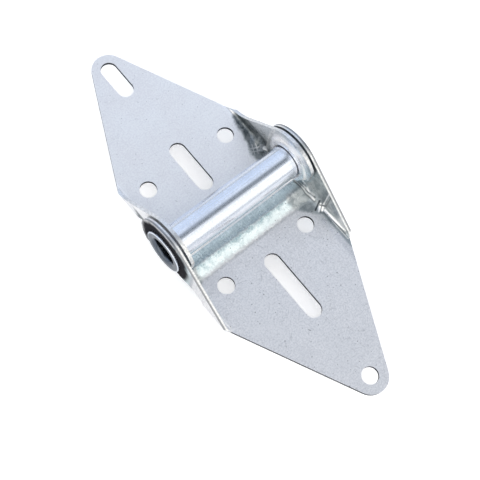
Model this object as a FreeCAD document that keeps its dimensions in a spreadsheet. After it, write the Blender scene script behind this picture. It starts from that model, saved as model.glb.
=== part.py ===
import FreeCAD, Part
import math
import os
import Sketcher

# Garage door hinge: two folded sheet leaves that turn about a flared steel sleeve.
# Millimetres. The origin is the middle of the sleeve, X runs along it, Y towards the tip of
# the upper leaf, and Z away from the door, with the hinge lying open and flat.

SIZES = {
    # Both leaves
    "sheet_thickness": 1.5,
    "axis_height": 11.6,
    "ear_radius": 14.4,
    "bolt_hole_diameter": 7.1,
    "slot_width": 7.1,
    # Sleeve
    "tube_outer_radius": 7.1,
    "tube_wall": 1.35,
    "flare_width": 2.3,
    "flare_thickness": 1.1,
    "tube_seat_clearance": 0.05,
    # Lower leaf, with the outer ears
    "outer_ear_half_span": 33.6,
    "outer_ear_foot_height": 2.0,
    "lower_plate_end": 5.5,
    "lower_bend_radius": 0.9,
    "lower_flange_bend_radius": 1.5,
    "lower_shoulder_setback": 2.1,
    "lower_shoulder_distance": 39.0,
    "lower_tip_radius": 7.6,
    "lower_tip_distance": 85.84,
    "lower_bolt_half_spacing": 21.0,
    "lower_bolt_distance": 23.6,
    "lower_slot_distance": 39.8,
    "lower_slot_length": 31.8,
    # Raised step of the lower leaf beside the sleeve
    "step_rise": 2.0,
    "step_crest_distance": 10.3,
    "step_foot_distance": 15.1,
    "corner_foot_radius": 4.8,
    "corner_end_radius": 3.6,
    "corner_end_distance": 22.6,
    "corner_crease_length": 1.2,
    "recess_depth": 0.45,
    "tab_half_width": 14.9,
    "recess_side_margin": 3.0,
    # Upper leaf, with the inner ears
    "ear_side_gap": 1.0,
    "collar_play": 0.7,
    "dish_floor_width": 1.9,
    "dish_slope_width": 1.6,
    "dish_depth": 1.0,
    "strap_width": 1.6,
    "strap_start_angle": 11.1,
    "ear_front_cutback": 2.1,
    "ear_chin_height": 12.9,
    "ear_chin_radius": 2.0,
    "upper_plate_end": 2.0,
    "upper_bend_radius": 1.4,
    "upper_corner_radius": 5.4,
    "upper_corner_distance": 15.5,
    "upper_corner_length": 11.0,
    "upper_flange_foot_distance": 25.4,
    "upper_flange_foot_height": 6.7,
    "upper_flange_run_out_radius": 21.0,
    "upper_flange_end_height": 2.0,
    "upper_shoulder_setback": 0.7,
    "upper_shoulder_distance": 33.2,
    "upper_tip_radius": 7.4,
    "upper_tip_distance": 78.6,
    "upper_bolt_half_spacing": 20.2,
    "upper_bolt_distance": 26.6,
    "upper_slot_distance": 24.17,
    "upper_slot_length": 24.3,
    "tip_slot_distance": 73.16,
    "tip_slot_length": 18.1,
    # How far a cutting outline reaches past the sheet
    "cut_margin": 12.0,
}

document = FreeCAD.newDocument("garage_door_hinge")
sheet = document.addObject("Spreadsheet::Sheet", "sizes")
for row, (alias, number) in enumerate(SIZES.items(), start=1):
    sheet.set("A%d" % row, alias.replace("_", " "))
    sheet.set("B%d" % row, str(number))
    sheet.setAlias("B%d" % row, alias)
document.recompute()


class Size:
    """A number together with the sheet expression that gives it."""

    def __init__(self, value, text):
        self.value = value
        self.text = text

    def __add__(self, other):
        other = as_size(other)
        return Size(self.value + other.value, "(%s + %s)" % (self.text, other.text))

    def __sub__(self, other):
        other = as_size(other)
        return Size(self.value - other.value, "(%s - %s)" % (self.text, other.text))

    def __mul__(self, other):
        other = as_size(other)
        return Size(self.value * other.value, "(%s * %s)" % (self.text, other.text))

    def __truediv__(self, other):
        other = as_size(other)
        return Size(self.value / other.value, "(%s / %s)" % (self.text, other.text))

    def __neg__(self):
        return Size(-self.value, "(0 - %s)" % self.text)


def as_size(number):
    if isinstance(number, Size):
        return number
    return Size(float(number), "%.9g" % number if number >= 0 else "(0 - %.9g)" % -number)


def size(alias):
    return Size(float(getattr(sheet, alias)), "%s.%s" % (sheet.Name, alias))


def root(number):
    return Size(math.sqrt(number.value), "sqrt(%s)" % number.text)


def sine(angle):
    return Size(math.sin(math.radians(angle.value)), "sin(%s)" % angle.text)


def cosine(angle):
    return Size(math.cos(math.radians(angle.value)), "cos(%s)" % angle.text)


def angle_of(rise, run):
    """Angle of a slope in degrees."""
    return Size(math.degrees(math.atan2(rise.value, run.value)), "atan2(%s; %s)" % (rise.text, run.text))


def angle_with_sine(ratio):
    return Size(math.degrees(math.asin(ratio.value)), "asin(%s)" % ratio.text)


ZERO = as_size(0)
RIGHT_ANGLE = Size(90.0, "90 deg")
thickness = size("sheet_thickness")
back = -size("axis_height")
plate_top = back + thickness
ear_radius = size("ear_radius")
tube_radius = size("tube_outer_radius")
collar_hole_radius = tube_radius + size("collar_play")
margin = size("cut_margin")


# Sketches: every outline is a closed run of points tied to the sizes

# The sketcher's own numbers: its origin, a whole edge, and an edge's start, end and centre.
SKETCH_ORIGIN, WHOLE_EDGE, START_POINT, END_POINT, CENTRE_POINT = range(-1, 4)
STRAIGHT = ("straight",)


def around(centre, turn):
    """Side that turns about a centre, left (1) or right (-1)."""
    return ("around", centre, turn)


def curve(radius, turn):
    """Side of a given radius that turns left (1) or right (-1), less than a half turn."""
    return ("curve", radius, turn)


def tie(sketch, constraint, number):
    index = sketch.addConstraint(constraint)
    if number is not ZERO:
        sketch.setExpression("Constraints[%d]" % index, number.text)


def pin(sketch, geometry, position, point):
    for kind, number in zip(("DistanceX", "DistanceY"), point):
        constraint = Sketcher.Constraint(
            kind, SKETCH_ORIGIN, START_POINT, geometry, position, number.value)
        tie(sketch, constraint, number)


def vector(point):
    return FreeCAD.Vector(point[0].value, point[1].value, 0)


def curve_centre(start, end, radius, turn):
    """Centre of the shorter arc from start to end."""
    chord = end - start
    middle = (start + end) / 2
    height = math.sqrt(max(radius ** 2 - chord.Length ** 2 / 4, 0))
    return middle + FreeCAD.Vector(-chord.y, chord.x, 0).normalize() * height * turn


def add_side(sketch, start, end, side):
    """Adds one side of an outline. Returns it with the numbers of its start and end points."""
    if side is STRAIGHT:
        return sketch.addGeometry(Part.LineSegment(start, end), False), START_POINT, END_POINT
    kind, shape, turn = side
    if kind == "around":
        centre = vector(shape)
        radius = (start - centre).Length
    else:
        radius = shape.value
        centre = curve_centre(start, end, radius, turn)
    first, last = (start, end) if turn > 0 else (end, start)
    angles = [math.atan2(point.y - centre.y, point.x - centre.x) for point in (first, last)]
    if angles[1] <= angles[0]:
        angles[1] += 2 * math.pi
    circle = Part.Circle(centre, FreeCAD.Vector(0, 0, 1), radius)
    geometry = sketch.addGeometry(Part.ArcOfCircle(circle, *angles), False)
    if kind == "curve":
        tie(sketch, Sketcher.Constraint("Radius", geometry, shape.value), shape)
    elif abs(end.x - start.x) > abs(end.y - start.y):
        constraint = Sketcher.Constraint(
            "DistanceY", SKETCH_ORIGIN, START_POINT, geometry, CENTRE_POINT, shape[1].value)
        tie(sketch, constraint, shape[1])
    else:
        constraint = Sketcher.Constraint(
            "DistanceX", SKETCH_ORIGIN, START_POINT, geometry, CENTRE_POINT, shape[0].value)
        tie(sketch, constraint, shape[0])
    ends = (START_POINT, END_POINT) if turn > 0 else (END_POINT, START_POINT)
    return (geometry,) + ends


def add_outline(sketch, corners):
    """Closed outline. Each corner is a point and the side that leads on to the next corner."""
    sides = []
    for (point, side), (following, _) in zip(corners, corners[1:] + corners[:1]):
        sides.append(add_side(sketch, vector(point), vector(following), side))
    for (geometry, start, _), (point, _) in zip(sides, corners):
        pin(sketch, geometry, start, point)
    for (geometry, _, end), (following, start, _) in zip(sides, sides[1:] + sides[:1]):
        sketch.addConstraint(Sketcher.Constraint("Coincident", geometry, end, following, start))


def polygon(points):
    return [(point, STRAIGHT) for point in points]


def rectangle(left, bottom, right, top):
    return polygon([(left, bottom), (right, bottom), (right, top), (left, top)])


def add_circle(sketch, centre, radius):
    circle = Part.Circle(vector(centre), FreeCAD.Vector(0, 0, 1), radius.value)
    geometry = sketch.addGeometry(circle, False)
    pin(sketch, geometry, CENTRE_POINT, centre)
    tie(sketch, Sketcher.Constraint("Radius", geometry, radius.value), radius)


def new_sketch(body, name, plane, offset=None):
    """Sketch on one of the body's planes. XY: x, y. XZ: x, z. YZ: y, z."""
    sketch = body.newObject("Sketcher::SketchObject", name)
    planes = {feature.Role: feature for feature in body.Origin.OriginFeatures}
    sketch.AttachmentSupport = (planes[plane + "_Plane"], [""])
    sketch.MapMode = "FlatFace"
    if offset is not None:
        sketch.setExpression("AttachmentOffset.Base.z", offset.text)
    return sketch


def cut_through(body, name, sketch):
    """Pocket through the whole body, to both sides of the sketch."""
    pocket = body.newObject("PartDesign::Pocket", name)
    pocket.Profile = sketch
    pocket.SideType = "Symmetric"
    pocket.Type = "ThroughAll"
    return pocket


def loft(body, kind, name, sections, ruled):
    feature = body.newObject("PartDesign::" + kind, name)
    feature.Profile = sections[0]
    feature.Sections = sections[1:]
    feature.Ruled = ruled
    return feature


def revolve(body, kind, name, sketch):
    """Full turn about the sketch's own horizontal axis, which is the sleeve's axis."""
    feature = body.newObject("PartDesign::" + kind, name)
    feature.Profile = sketch
    feature.ReferenceAxis = (sketch, ["H_Axis"])
    feature.Angle = 360
    return feature


# The folded sheet

def channel_section(body, name, distance, outer_half_width, bend_radius, levels):
    """Section across a leaf: plate, two bends and two upright flanges.

    The levels are how far the plate's skin and its back stand above those of the flat plate.
    """
    sketch = new_sketch(body, name, "XZ", -distance)
    skin = plate_top + levels[0]
    underside = back + levels[1]
    inner_half_width = outer_half_width - thickness
    bend_x = inner_half_width - bend_radius
    inner_bend_z = skin + bend_radius
    outer_bend_z = underside + bend_radius + thickness
    top = ear_radius + margin / 4
    add_outline(sketch, [
        ((-bend_x, underside), STRAIGHT),
        ((bend_x, underside), around((bend_x, outer_bend_z), 1)),
        ((outer_half_width, outer_bend_z), STRAIGHT),
        ((outer_half_width, top), STRAIGHT),
        ((inner_half_width, top), STRAIGHT),
        ((inner_half_width, inner_bend_z), around((bend_x, inner_bend_z), -1)),
        ((bend_x, skin), STRAIGHT),
        ((-bend_x, skin), around((-bend_x, inner_bend_z), -1)),
        ((-inner_half_width, inner_bend_z), STRAIGHT),
        ((-inner_half_width, top), STRAIGHT),
        ((-outer_half_width, top), STRAIGHT),
        ((-outer_half_width, outer_bend_z), around((-bend_x, outer_bend_z), 1)),
    ])
    return sketch


def add_channel(body, side, outer_half_width, stations):
    """The leaf's folded sheet, before its outlines are cut.

    Each station is a distance from the sleeve's axis, the bends' inner radius and the levels.
    """
    sections = []
    for index, (distance, bend_radius, levels) in enumerate(stations):
        name = "channel_section_%d" % index
        sections.append(channel_section(body, name, distance * side, outer_half_width, bend_radius, levels))
    loft(body, "AdditiveLoft", "folded_sheet", sections, True)


FLAT = (ZERO, ZERO)


def tangent_point(distance, drop, radius, side):
    """Where a line from a lower outside point meets the top of a circle about the origin."""
    reach = root(distance * distance + drop * drop)
    steepness = angle_of(drop, distance) + angle_with_sine(radius / reach)
    return radius * sine(steepness) * side, radius * cosine(steepness)


def trim_plan(body, side, shoulder, tip_distance, tip_radius, outer_half_width):
    """Cuts away what lies outside the leaf seen from above: shoulders, taper and round tip."""
    shoulder_half_width, shoulder_distance = shoulder
    run = tip_distance - shoulder_distance
    reach = root(run * run + shoulder_half_width * shoulder_half_width)
    taper = angle_of(shoulder_half_width, run) - angle_with_sine(tip_radius / reach)
    flange_half_width = outer_half_width + margin / 4
    corner_distance = shoulder_distance - (outer_half_width - shoulder_half_width)
    tip_x = tip_radius * cosine(taper)
    tip_y = tip_distance + tip_radius * sine(taper)
    far = tip_distance + tip_radius + margin
    wide = outer_half_width + margin
    near = -(ear_radius + margin)
    turn = 1 if side > 0 else -1
    kept = [
        ((flange_half_width, near * side), STRAIGHT),
        ((flange_half_width, (corner_distance - margin / 4) * side), STRAIGHT),
        ((shoulder_half_width, shoulder_distance * side), STRAIGHT),
        ((tip_x, tip_y * side), around((ZERO, tip_distance * side), turn)),
        ((-tip_x, tip_y * side), STRAIGHT),
        ((-shoulder_half_width, shoulder_distance * side), STRAIGHT),
        ((-flange_half_width, (corner_distance - margin / 4) * side), STRAIGHT),
        ((-flange_half_width, near * side), STRAIGHT),
    ]
    sketch = new_sketch(body, "plan_outline", "XY")
    add_outline(sketch, rectangle(-wide, (near - margin) * side, wide, far * side))
    add_outline(sketch, kept)
    cut_through(body, "plan_trim", sketch)


def trim_side(body, side, kept, reach):
    """Cuts away what lies outside the leaf seen along the sleeve."""
    sketch = new_sketch(body, "side_outline", "YZ")
    low = back - margin
    high = ear_radius + margin
    add_outline(sketch, rectangle(-(ear_radius + margin) * side, low, reach * side, high))
    add_outline(sketch, kept)
    cut_through(body, "side_trim", sketch)


def add_holes(body, bolt_half_spacing, bolt_distance, slots, rounds):
    """Bolt holes, slots and other round holes, through the plate only."""
    hole_radius = size("bolt_hole_diameter") / 2
    half_width = size("slot_width") / 2
    sketch = new_sketch(body, "plate_holes", "XY", back + thickness * 2)
    for centre in [(-bolt_half_spacing, bolt_distance), (bolt_half_spacing, bolt_distance)] + rounds:
        add_circle(sketch, centre, hole_radius)
    for distance, length in slots:
        straight = length / 2 - half_width
        low = distance - straight
        high = distance + straight
        add_outline(sketch, [
            ((half_width, low), STRAIGHT),
            ((half_width, high), around((ZERO, high), 1)),
            ((-half_width, high), STRAIGHT),
            ((-half_width, low), around((ZERO, low), 1)),
        ])
    pocket = body.newObject("PartDesign::Pocket", "plate_hole_cut")
    pocket.Profile = sketch
    pocket.setExpression("Length", (thickness * 4).text)


def add_ear_holes(body, radius):
    sketch = new_sketch(body, "ear_hole", "YZ")
    add_circle(sketch, (ZERO, ZERO), radius)
    cut_through(body, "ear_hole_cut", sketch)


# Lower leaf

# The step's two turns are each drawn in this many short straights.
STEP_TURN_STRAIGHTS = 4


def step_levels(climb, run, radius, past_middle, past_back_middle):
    """Levels of the sheet's skin and back on the step, at a distance from its foot.

    Skin and back follow arcs about the same two centres, so the sheet keeps its thickness.
    """
    rise = size("step_rise")
    rest = run - climb
    outer = radius + thickness
    inner = radius - thickness
    if past_middle:
        skin = rise - radius + root(radius * radius - rest * rest)
    else:
        skin = radius - root(radius * radius - climb * climb)
    if past_back_middle:
        underside = rise + thickness - radius + root(inner * inner - rest * rest)
    else:
        underside = outer - root(outer * outer - climb * climb)
    return skin, underside


def step_stations():
    """Stations from the raised part down to the foot of the step."""
    foot = size("step_foot_distance")
    run = foot - size("step_crest_distance")
    slope = angle_of(size("step_rise"), run) * 2
    radius = run / sine(slope) / 2
    narrow = size("lower_bend_radius")
    widening = size("corner_foot_radius") - narrow
    climbs = []
    for index in range(1, STEP_TURN_STRAIGHTS + 1):
        climbs.append(radius * sine(slope * index / STEP_TURN_STRAIGHTS))
    climbs += [run - climb for climb in reversed(climbs[:-1])]
    back_middle = run / 2 + thickness * sine(slope)
    stations = []
    for index, climb in enumerate(reversed(climbs), start=1):
        past_middle = climb.value > run.value / 2
        levels = step_levels(climb, run, radius, past_middle, climb.value > back_middle.value)
        bend_radius = narrow + widening * index / (STEP_TURN_STRAIGHTS * 2)
        stations.append((foot - climb, bend_radius, levels))
    return stations


def lower_stations(tip_reach):
    """The raised part with the ears, the step, the drawn corners behind it, and the flat part."""
    raised = (size("step_rise"), size("step_rise"))
    narrow = size("lower_bend_radius")
    flange_bend = size("lower_flange_bend_radius")
    corner_end = size("corner_end_distance")
    stations = [(-(ear_radius + margin / 4), narrow, raised)]
    stations.append((size("step_crest_distance"), narrow, raised))
    stations += step_stations()
    stations.append((size("step_foot_distance"), size("corner_foot_radius"), FLAT))
    stations.append((corner_end, size("corner_end_radius"), FLAT))
    stations.append((corner_end + size("corner_crease_length"), flange_bend, FLAT))
    stations.append((tip_reach, flange_bend, FLAT))
    return stations


def free_ears(body, inner_half_width):
    """Past the plate's end the ears are flat and reach down to their foot."""
    end = -size("lower_plate_end")
    reach = ear_radius + margin
    opening = new_sketch(body, "space_under_sleeve", "XY")
    add_outline(opening, rectangle(-inner_half_width, end, inner_half_width, reach))
    cut_through(body, "space_cut", opening)
    bend_top = back + size("step_rise") + thickness + size("lower_bend_radius")
    for name, place, turned in (("right", inner_half_width, False), ("left", -inner_half_width, True)):
        foot = new_sketch(body, name + "_ear_foot", "YZ", place)
        add_outline(foot, rectangle(end, back, ear_radius, bend_top + thickness))
        pad = body.newObject("PartDesign::Pad", name + "_ear_foot_sheet")
        pad.Profile = foot
        pad.Reversed = turned
        pad.setExpression("Length", thickness.text)


def cut_recesses(body, outer_half_width):
    """The end edge stands back a little from the sleeve either side of a middle tab."""
    end = -size("lower_plate_end")
    sketch = new_sketch(body, "end_recesses", "XY")
    inner = size("tab_half_width")
    outer = outer_half_width - size("recess_side_margin")
    for left, right in ((inner, outer), (-outer, -inner)):
        add_outline(sketch, rectangle(left, end - size("recess_depth"), right, end + margin / 4))
    cut_through(body, "recess_cut", sketch)


def make_lower_leaf():
    body = document.addObject("PartDesign::Body", "lower_leaf")
    body.Label = "lower_leaf"
    outer_half_width = size("outer_ear_half_span")
    shoulder_distance = size("lower_shoulder_distance")
    shoulder = (outer_half_width - size("lower_shoulder_setback"), shoulder_distance)
    tip_distance = size("lower_tip_distance")
    tip_radius = size("lower_tip_radius")
    tip_reach = tip_distance + tip_radius + margin / 2
    add_channel(body, -1, outer_half_width, lower_stations(tip_reach))
    free_ears(body, outer_half_width - thickness)

    foot = back + size("outer_ear_foot_height")
    foot_y = root(ear_radius * ear_radius - foot * foot)
    line_start = tangent_point(shoulder_distance, -plate_top, ear_radius, -1)
    end = -size("lower_plate_end")
    trim_side(body, -1, [
        ((-tip_reach - margin / 4, back - margin / 4), STRAIGHT),
        ((end, back - margin / 4), STRAIGHT),
        ((end, foot), STRAIGHT),
        ((foot_y, foot), around((ZERO, ZERO), 1)),
        ((ZERO, ear_radius), around((ZERO, ZERO), 1)),
        (line_start, STRAIGHT),
        ((-shoulder_distance, plate_top), STRAIGHT),
        ((-tip_reach - margin / 4, plate_top), STRAIGHT),
    ], tip_reach + margin)
    trim_plan(body, -1, shoulder, tip_distance, tip_radius, outer_half_width)
    cut_recesses(body, outer_half_width)
    add_holes(body, size("lower_bolt_half_spacing"), -size("lower_bolt_distance"),
              [(-size("lower_slot_distance"), size("lower_slot_length"))], [(ZERO, -tip_distance)])
    add_ear_holes(body, tube_radius + size("tube_seat_clearance"))
    return body


# Upper leaf

# The drawn corners open the bends and close them again over this many stretches.
CORNER_STRETCHES = 8


def upper_stations(tip_reach):
    """One section all along but for the drawn corners, where the bends open smoothly."""
    narrow = size("upper_bend_radius")
    opening = size("upper_corner_radius") - narrow
    length = size("upper_corner_length")
    corner_start = size("upper_corner_distance") - length / 2
    stations = [(-(ear_radius + margin / 4), narrow, FLAT)]
    for index in range(CORNER_STRETCHES + 1):
        place = index / CORNER_STRETCHES
        share = math.sin(math.pi * place) ** 2
        stations.append((corner_start + length * place, narrow + opening * share, FLAT))
    stations.append((tip_reach, narrow, FLAT))
    return stations


def add_collars(body, ear_outer_x):
    """Each inner ear is dished towards the middle round its hole."""
    ear_inner_x = ear_outer_x - thickness
    depth = size("dish_depth")
    floor = collar_hole_radius + size("dish_floor_width")
    brim = floor + size("dish_slope_width")
    for name, side in (("right", 1), ("left", -1)):
        bulge = new_sketch(body, name + "_dish_bulge", "XY")
        add_outline(bulge, polygon([
            ((ear_inner_x + thickness / 2) * side, tube_radius),
            ((ear_inner_x + thickness / 2) * side, brim),
            (ear_inner_x * side, brim),
            ((ear_inner_x - depth) * side, floor),
            ((ear_inner_x - depth) * side, tube_radius),
        ]))
        revolve(body, "Revolution", name + "_dish", bulge)
        hollow = new_sketch(body, name + "_dish_hollow", "XY")
        add_outline(hollow, polygon([
            ((ear_outer_x + thickness) * side, ZERO),
            ((ear_outer_x + thickness) * side, brim),
            (ear_outer_x * side, brim),
            ((ear_outer_x - depth) * side, floor),
            ((ear_outer_x - depth) * side, ZERO),
        ]))
        revolve(body, "Groove", name + "_dish_cut", hollow)


def chin_corner(front, chin, strap_point, radius):
    """Rounded lower front corner of an inner ear: its two ends and its centre."""
    lean = angle_of(chin[1] - strap_point[1], strap_point[0] - chin[0])
    half_turn = (RIGHT_ANGLE - lean) / 2
    setback = radius * sine(half_turn) / cosine(half_turn)
    upper = (front, chin[1] + setback)
    lower = (chin[0] + setback * cosine(lean), chin[1] - setback * sine(lean))
    return upper, lower


def make_upper_leaf():
    body = document.addObject("PartDesign::Body", "upper_leaf")
    body.Label = "upper_leaf"
    outer_half_width = size("outer_ear_half_span") - thickness - size("ear_side_gap")
    shoulder = (outer_half_width - size("upper_shoulder_setback"), size("upper_shoulder_distance"))
    tip_distance = size("upper_tip_distance")
    tip_radius = size("upper_tip_radius")
    tip_reach = tip_distance + tip_radius + margin / 2
    add_channel(body, 1, outer_half_width, upper_stations(tip_reach))
    add_collars(body, outer_half_width)

    front = -(ear_radius - size("ear_front_cutback"))
    strap_radius = collar_hole_radius + size("strap_width")
    strap_angle = size("strap_start_angle")
    strap_point = (-strap_radius * cosine(strap_angle), -strap_radius * sine(strap_angle))
    chin = (front, back + size("ear_chin_height"))
    chin_upper, chin_lower = chin_corner(front, chin, strap_point, size("ear_chin_radius"))
    crown_front = (front, root(ear_radius * ear_radius - front * front))
    end = -size("upper_plate_end")
    strap_end = (end, -root(strap_radius * strap_radius - end * end))
    foot = (size("upper_flange_foot_distance"), back + size("upper_flange_foot_height"))
    line_start = tangent_point(foot[0], -foot[1], ear_radius, 1)
    flange_end = (shoulder[1] + thickness / 2, back + size("upper_flange_end_height"))
    trim_side(body, 1, [
        ((end, back - margin / 4), STRAIGHT),
        ((tip_reach + margin / 4, back - margin / 4), STRAIGHT),
        ((tip_reach + margin / 4, plate_top), STRAIGHT),
        ((flange_end[0] + size("upper_bend_radius") * 2, plate_top), STRAIGHT),
        (flange_end, curve(size("upper_flange_run_out_radius"), -1)),
        (foot, STRAIGHT),
        (line_start, around((ZERO, ZERO), 1)),
        ((ZERO, ear_radius), around((ZERO, ZERO), 1)),
        (crown_front, STRAIGHT),
        (chin_upper, curve(size("ear_chin_radius"), 1)),
        (chin_lower, STRAIGHT),
        (strap_point, around((ZERO, ZERO), 1)),
        (strap_end, STRAIGHT),
    ], tip_reach + margin)
    trim_plan(body, 1, shoulder, tip_distance, tip_radius, outer_half_width)
    add_holes(body, size("upper_bolt_half_spacing"), size("upper_bolt_distance"),
              [(size("upper_slot_distance"), size("upper_slot_length")),
               (size("tip_slot_distance"), size("tip_slot_length"))], [])
    add_ear_holes(body, collar_hole_radius)
    return body


# Sleeve

# The mouth of the bore opens in this many short cones.
MOUTH_CONES = 3


def make_roller_tube():
    """Sleeve whose ends are flared over the outer ears."""
    body = document.addObject("PartDesign::Body", "roller_tube")
    body.Label = "roller_tube"
    wall = size("tube_wall")
    bore = tube_radius - wall
    flare = tube_radius + size("flare_width")
    lip = size("flare_thickness")
    seat = size("outer_ear_half_span") + size("tube_seat_clearance")
    end = seat + lip
    mouth = wall + lip / 4
    right = []
    for index in range(MOUTH_CONES + 1):
        turn = RIGHT_ANGLE * index / MOUTH_CONES
        right.append((end - mouth + mouth * sine(turn), bore + mouth - mouth * cosine(turn)))
    right += [(end, flare - lip / 3), (end - lip / 3, flare), (seat, flare), (seat, tube_radius)]
    left = [(-along, out) for along, out in reversed(right)]
    sketch = new_sketch(body, "sleeve_section", "XY")
    add_outline(sketch, polygon(right + left))
    revolve(body, "Revolution", "sleeve", sketch)
    return body


pieces = [make_lower_leaf(), make_upper_leaf(), make_roller_tube()]
document.recompute()

for item in document.Objects:
    if "Invalid" in item.State or "Error" in item.State:
        raise SystemExit("%s failed: %s" % (item.Name, item.State))
for piece in pieces:
    shape = piece.Shape
    if shape.isNull() or not shape.isValid() or len(shape.Solids) != 1:
        raise SystemExit("%s is not one valid solid" % piece.Label)
    print("%s: %.0f mm3, %s" % (piece.Label, shape.Volume, shape.BoundBox))

os.makedirs("parts", exist_ok=True)
for piece in pieces:
    piece.Shape.exportStep("parts/%s.step" % piece.Label)
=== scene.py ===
import math
from collections import namedtuple

import bmesh
import bpy
from mathutils import Matrix, Vector


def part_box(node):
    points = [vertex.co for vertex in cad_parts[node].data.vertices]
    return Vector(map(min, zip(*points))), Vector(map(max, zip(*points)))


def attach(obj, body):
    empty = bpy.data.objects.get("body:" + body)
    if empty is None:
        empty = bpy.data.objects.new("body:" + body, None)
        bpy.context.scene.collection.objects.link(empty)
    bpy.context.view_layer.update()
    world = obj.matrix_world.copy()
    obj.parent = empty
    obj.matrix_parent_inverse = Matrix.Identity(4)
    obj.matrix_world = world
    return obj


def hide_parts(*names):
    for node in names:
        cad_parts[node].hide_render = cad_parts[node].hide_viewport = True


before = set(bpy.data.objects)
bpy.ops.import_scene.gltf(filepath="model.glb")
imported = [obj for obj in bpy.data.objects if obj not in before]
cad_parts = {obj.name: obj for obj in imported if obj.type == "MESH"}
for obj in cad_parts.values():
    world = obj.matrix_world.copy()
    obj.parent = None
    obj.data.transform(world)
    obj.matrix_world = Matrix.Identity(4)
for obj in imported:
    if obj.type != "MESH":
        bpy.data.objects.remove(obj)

# Garage door hinge in galvanised sheet steel. Metres. X runs along the sleeve, Y towards the
# tip of the upper leaf, Z away from the door, and the origin is the middle of the sleeve.

MM = 0.001
QUARTER_TURN = math.radians(90)
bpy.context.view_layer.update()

# Sheet
PLATE_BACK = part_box("lower_leaf")[0].z
SHEET = 1.5 * MM
PLATE_TOP = PLATE_BACK + SHEET
EAR_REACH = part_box("upper_leaf")[1].x

# Sleeve
SLEEVE_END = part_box("roller_tube")[1]
SLEEVE_BORE = 5.75 * MM
SLEEVE_RADIUS = 7.1 * MM
SLEEVE_FLARE = SLEEVE_END.z
SLEEVE_LIP = 1.1 * MM
SLEEVE_MOUTH = 1.55 * MM
SLEEVE_LIP_ROUND = 0.35 * MM
SLEEVE_CREASE = 0.1 * MM
SLEEVE_ROUND_STEPS = 8
SLEEVE_TURN_STEPS = 160

# Edges of the sheet
EDGE_ROUND = 0.22 * MM
EDGE_ROUND_STEPS = 2
EDGE_ANGLE = math.radians(38)
FACE_WEIGHT = 100
SAME_POINT = 0.001 * MM
SAME_PLANE = math.radians(0.4)


# Node trees

def link(tree, source, target):
    tree.links.new(source, target)


def plug(tree, source, socket):
    """Links a socket to a source, or sets it to a plain value."""
    if isinstance(source, bpy.types.NodeSocket):
        link(tree, source, socket)
    else:
        socket.default_value = source


def new_node(tree, kind, **settings):
    """Node with settings by attribute name."""
    node = tree.nodes.new(kind)
    for name, value in settings.items():
        setattr(node, name, value)
    return node


def feed(tree, node, **sources):
    """Sets or links inputs by socket name, with _ for a space."""
    for name, source in sources.items():
        plug(tree, source, node.inputs[name.replace("_", " ")])
    return node


def math_node(tree, operation, first, second=0.0, clamp=False):
    node = new_node(tree, "ShaderNodeMath", operation=operation, use_clamp=clamp)
    plug(tree, first, node.inputs[0])
    plug(tree, second, node.inputs[1])
    return node.outputs[0]


def plus(tree, first, second, clamp=False):
    return math_node(tree, "ADD", first, second, clamp)


def minus(tree, first, second):
    return math_node(tree, "SUBTRACT", first, second)


def times(tree, first, second, clamp=False):
    return math_node(tree, "MULTIPLY", first, second, clamp)


def larger(tree, first, second):
    return math_node(tree, "MAXIMUM", first, second)


def unsigned(tree, value):
    return math_node(tree, "ABSOLUTE", value)


def vector_node(tree, operation, *sources, result="Vector"):
    node = new_node(tree, "ShaderNodeVectorMath", operation=operation)
    for socket, source in zip(node.inputs, sources):
        plug(tree, source, socket)
    return node.outputs[result]


def split_axes(tree, vector):
    """X, Y and Z of a vector."""
    node = new_node(tree, "ShaderNodeSeparateXYZ")
    link(tree, vector, node.inputs[0])
    return node.outputs["X"], node.outputs["Y"], node.outputs["Z"]


# The Mix node has sockets of its own for each kind: first, second and result
MIX_SOCKETS = {"FLOAT": (2, 3, 0), "VECTOR": (4, 5, 1), "RGBA": (6, 7, 2)}


def mix(tree, kind, factor, first, second):
    node = new_node(tree, "ShaderNodeMix", data_type=kind)
    first_socket, second_socket, result = MIX_SOCKETS[kind]
    plug(tree, factor, node.inputs[0])
    plug(tree, first, node.inputs[first_socket])
    plug(tree, second, node.inputs[second_socket])
    return node.outputs[result]


def mix_colour(tree, factor, first, second):
    return mix(tree, "RGBA", factor, first, second)


def ramp(tree, source, low, high, low_out=0.0, high_out=1.0):
    """Smooth step of a value from one range to another."""
    node = new_node(tree, "ShaderNodeMapRange", interpolation_type="SMOOTHSTEP")
    feed(tree, node, Value=source, From_Min=low, From_Max=high, To_Min=low_out, To_Max=high_out)
    return node.outputs["Result"]


def within(tree, value, low, high, soft):
    """1 between two values and 0 outside, with soft ends."""
    rise = ramp(tree, value, low - soft, low + soft)
    fall = ramp(tree, value, high - soft, high + soft, 1.0, 0.0)
    return times(tree, rise, fall)


def noise(tree, vector, scale, detail=3.0, roughness=0.6, distortion=0.0):
    node = new_node(tree, "ShaderNodeTexNoise")
    feed(tree, node, Vector=vector, Scale=scale, Detail=detail, Roughness=roughness, Distortion=distortion)
    return node.outputs["Fac"]


def drift(tree, source, reach):
    """Moves by up to half of a reach to either side, as a noise does."""
    return times(tree, minus(tree, source, NOISE_MIDDLE), reach)


def drawn_out(tree, place, turn, stretch):
    """Place turned about Z and stretched, so that a pattern on it runs in one direction."""
    node = new_node(tree, "ShaderNodeMapping", vector_type="TEXTURE")
    feed(tree, node, Vector=place, Rotation=(0, 0, turn), Scale=stretch)
    return node.outputs[0]


def surface_bump(tree, height, strength, distance, **base):
    node = new_node(tree, "ShaderNodeBump")
    feed(tree, node, Height=height, Strength=strength, Distance=distance, **base)
    return node.outputs["Normal"]


# Effects that more than one finish uses, or one finish uses more than once

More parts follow.
